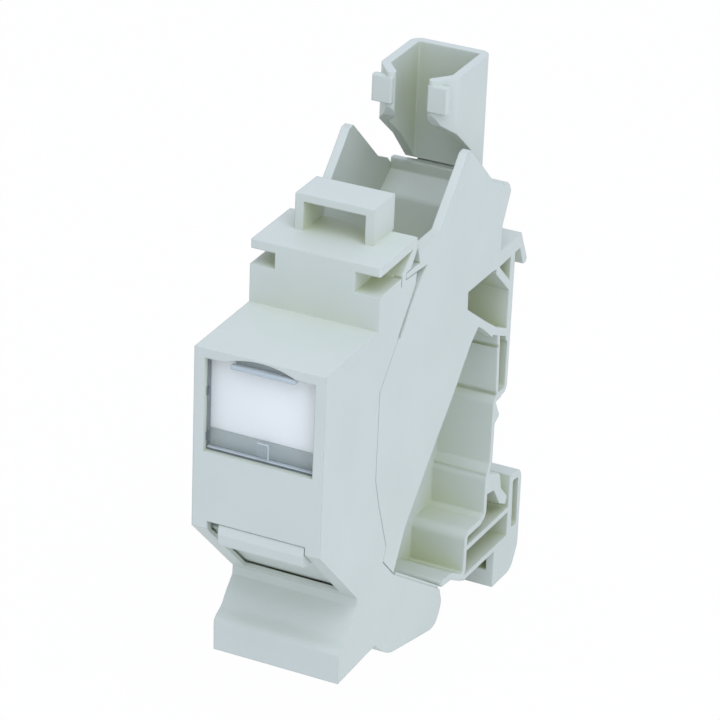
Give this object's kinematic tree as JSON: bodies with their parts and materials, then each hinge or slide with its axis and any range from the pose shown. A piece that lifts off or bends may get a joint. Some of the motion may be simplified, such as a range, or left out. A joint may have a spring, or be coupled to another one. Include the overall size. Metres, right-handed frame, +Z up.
{
  "type": "din rail mounting adapter with one modular jack",
  "caption": "Narrow light-grey plastic outlet that clips on a 35 mm mounting rail and holds one shielded network jack at 45 degrees behind a sliding dust shutter.",
  "frame": {"origin": "on the rail's mounting plane, at mid-width of the module and mid-height of the 35 mm rail", "axes": "+X across the module, +Y from the front towards the rail and the wall, +Z up along the cabinet"},
  "size_m": [0.0172, 0.0643, 0.0787],
  "materials": {
    "housing": "fine satin moulded, light grey",
    "clear": "clear moulded plastic",
    "card": "uncoated white card",
    "die_cast": "satin nickel-plated die casting",
    "insulator": "moulded black",
    "board": "solder mask",
    "gold": "gold-plated spring wire",
    "tin": "tin-plated strip"
  },
  "bodies": {
    "housing": {"front_cover": "housing", "rear_carrier": "housing", "label_card": "card", "label_window": "clear", "jack_front_shell": "die_cast", "jack_rear_shell": "die_cast", "contact_insert": "insulator", "circuit_board": "board", "terminal_block_upper": "insulator", "terminal_block_lower": "insulator", "wire_cap": "insulator", "contact_1": "gold", "contact_2": "gold", "contact_3": "gold", "contact_4": "gold", "contact_5": "gold", "contact_6": "gold", "contact_7": "gold", "contact_8": "gold", "idc_upper_1": "tin", "idc_upper_2": "tin", "idc_upper_3": "tin", "idc_upper_4": "tin", "idc_lower_1": "tin", "idc_lower_2": "tin", "idc_lower_3": "tin", "idc_lower_4": "tin"},
    "lid": {"cable_lid": "housing"},
    "shutter": {"dust_shutter": "housing"}
  },
  "joints": [
    {"name": "lid_hinge", "type": "hinge", "parent": "housing", "child": "lid", "pos_m": [0, -0.0045, 0.03005], "axis": [1, 0, 0], "range_deg": [0, 75]},
    {"name": "shutter_slide", "type": "slide", "parent": "housing", "child": "shutter", "axis": [0, 0.7071, -0.7071], "range_m": [0, 0.0095]}
  ]
}
